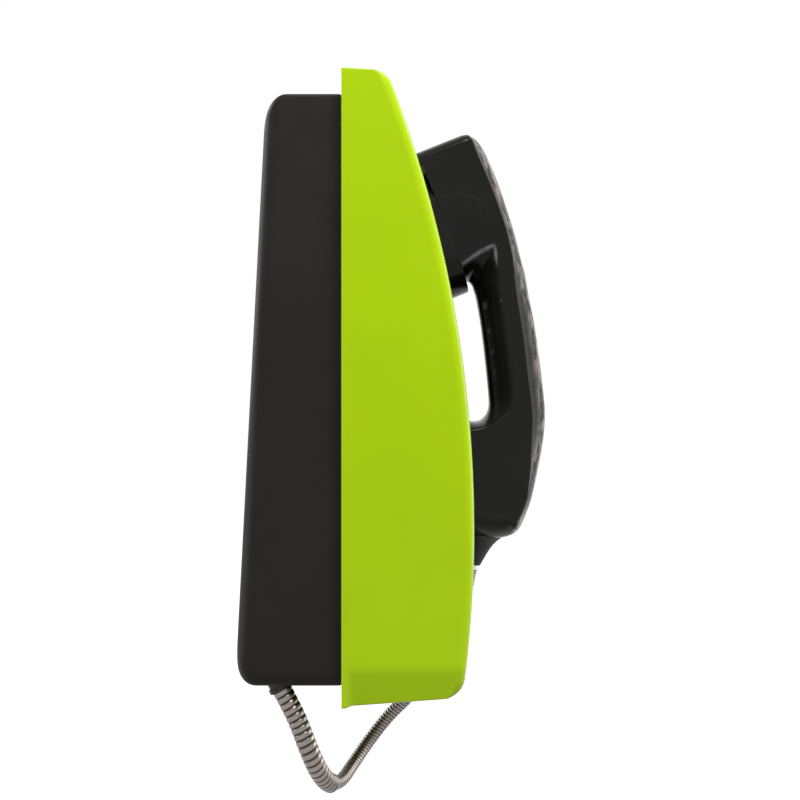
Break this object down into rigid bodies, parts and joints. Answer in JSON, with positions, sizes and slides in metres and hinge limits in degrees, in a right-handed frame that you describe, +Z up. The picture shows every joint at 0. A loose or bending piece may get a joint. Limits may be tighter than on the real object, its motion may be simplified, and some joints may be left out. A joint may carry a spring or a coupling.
{
  "type": "wall telephone",
  "caption": "Slim wall phone with a sloped black wall box, a lime green cover, a black handset lying in a cradle between two cheeks and a short steel armoured cord.",
  "frame": {"origin": "centre of the four wall screw holes, on the back face of the wall box", "axes": "+Z up the wall, -Y forward out of the wall, +X to the right when the phone is seen from the front"},
  "size_m": [0.12, 0.1498, 0.3602],
  "materials": {
    "black_abs": "satin moulded ABS",
    "green_abs": "glossy lime green ABS",
    "rubber": "matt rubber",
    "steel": "plain steel",
    "tray_abs": "fine textured ABS",
    "keypad_metal": "brushed stainless",
    "key_plastic": "moulded keys with plain numbers",
    "silicone": "silicone",
    "circuit_board": "glass-fibre board",
    "nylon": "natural nylon",
    "component_black": "moulded component cases",
    "terminal_blue": "blue terminal block",
    "brass": "plain brass",
    "handset_abs": "glossy black ABS",
    "hose_steel": "spiral-wound stainless hose"
  },
  "bodies": {
    "housing": {"back_box": "black_abs", "front_cover": "green_abs", "cover_gasket": "rubber", "line_grommet": "rubber", "cover_screws": "steel", "tray_screws": "steel", "keypad_screws": "steel", "hook_spring": "steel", "hook_bracket": "steel", "board_screws": "steel", "cord_bushing": "steel", "cord_anchor": "steel", "cradle_tray": "tray_abs", "keypad_bezel": "keypad_metal", "key_mat": "silicone", "keypad_board": "circuit_board", "main_board": "circuit_board", "keypad_ribbon": "nylon", "hook_switch": "component_black", "board_relay": "component_black", "board_chips": "component_black", "line_transformer": "component_black", "board_capacitors": "component_black", "terminal_block": "terminal_blue", "board_standoffs": "brass", "ringer_disc": "brass", "bushing_nut": "brass", "armoured_cord": "hose_steel", "cord_sleeve": "hose_steel"},
    "handset": {"handset_shell": "handset_abs", "ear_cap": "handset_abs", "mouth_cap": "handset_abs", "receiver_capsule": "component_black", "receiver_gasket": "rubber", "mic_capsule": "steel", "mic_holder": "component_black", "handset_boot": "rubber", "cord_ferrule": "steel"},
    "hook_plunger_body": {"hook_plunger": "nylon"},
    "key_1_body": {"key_1": "key_plastic"},
    "key_2_body": {"key_2": "key_plastic"},
    "key_3_body": {"key_3": "key_plastic"},
    "key_4_body": {"key_4": "key_plastic"},
    "key_5_body": {"key_5": "key_plastic"},
    "key_6_body": {"key_6": "key_plastic"},
    "key_7_body": {"key_7": "key_plastic"},
    "key_8_body": {"key_8": "key_plastic"},
    "key_9_body": {"key_9": "key_plastic"},
    "key_star_body": {"key_star": "key_plastic"},
    "key_0_body": {"key_0": "key_plastic"},
    "key_hash_body": {"key_hash": "key_plastic"}
  },
  "joints": [
    {"name": "handset_lift", "type": "slide", "parent": "housing", "child": "handset", "axis": [0, -0.9986, 0.0523], "range_m": [0, 0.12]},
    {"name": "hook_rise", "type": "slide", "parent": "housing", "child": "hook_plunger_body", "axis": [0, -0.9986, 0.0523], "range_m": [0, 0.005]},
    {"name": "key_1_press", "type": "slide", "parent": "housing", "child": "key_1_body", "axis": [0, 0.9986, -0.0523], "range_m": [0, 0.0015], "stiffness_N_per_m": 300},
    {"name": "key_2_press", "type": "slide", "parent": "housing", "child": "key_2_body", "axis": [0, 0.9986, -0.0523], "range_m": [0, 0.0015], "stiffness_N_per_m": 300},
    {"name": "key_3_press", "type": "slide", "parent": "housing", "child": "key_3_body", "axis": [0, 0.9986, -0.0523], "range_m": [0, 0.0015], "stiffness_N_per_m": 300},
    {"name": "key_4_press", "type": "slide", "parent": "housing", "child": "key_4_body", "axis": [0, 0.9986, -0.0523], "range_m": [0, 0.0015], "stiffness_N_per_m": 300},
    {"name": "key_5_press", "type": "slide", "parent": "housing", "child": "key_5_body", "axis": [0, 0.9986, -0.0523], "range_m": [0, 0.0015], "stiffness_N_per_m": 300},
    {"name": "key_6_press", "type": "slide", "parent": "housing", "child": "key_6_body", "axis": [0, 0.9986, -0.0523], "range_m": [0, 0.0015], "stiffness_N_per_m": 300},
    {"name": "key_7_press", "type": "slide", "parent": "housing", "child": "key_7_body", "axis": [0, 0.9986, -0.0523], "range_m": [0, 0.0015], "stiffness_N_per_m": 300},
    {"name": "key_8_press", "type": "slide", "parent": "housing", "child": "key_8_body", "axis": [0, 0.9986, -0.0523], "range_m": [0, 0.0015], "stiffness_N_per_m": 300},
    {"name": "key_9_press", "type": "slide", "parent": "housing", "child": "key_9_body", "axis": [0, 0.9986, -0.0523], "range_m": [0, 0.0015], "stiffness_N_per_m": 300},
    {"name": "key_star_press", "type": "slide", "parent": "housing", "child": "key_star_body", "axis": [0, 0.9986, -0.0523], "range_m": [0, 0.0015], "stiffness_N_per_m": 300},
    {"name": "key_0_press", "type": "slide", "parent": "housing", "child": "key_0_body", "axis": [0, 0.9986, -0.0523], "range_m": [0, 0.0015], "stiffness_N_per_m": 300},
    {"name": "key_hash_press", "type": "slide", "parent": "housing", "child": "key_hash_body", "axis": [0, 0.9986, -0.0523], "range_m": [0, 0.0015], "stiffness_N_per_m": 300}
  ],
  "couplings": [
    {"joint": "hook_rise", "follows": "handset_lift", "ratio": 0.0416}
  ]
}
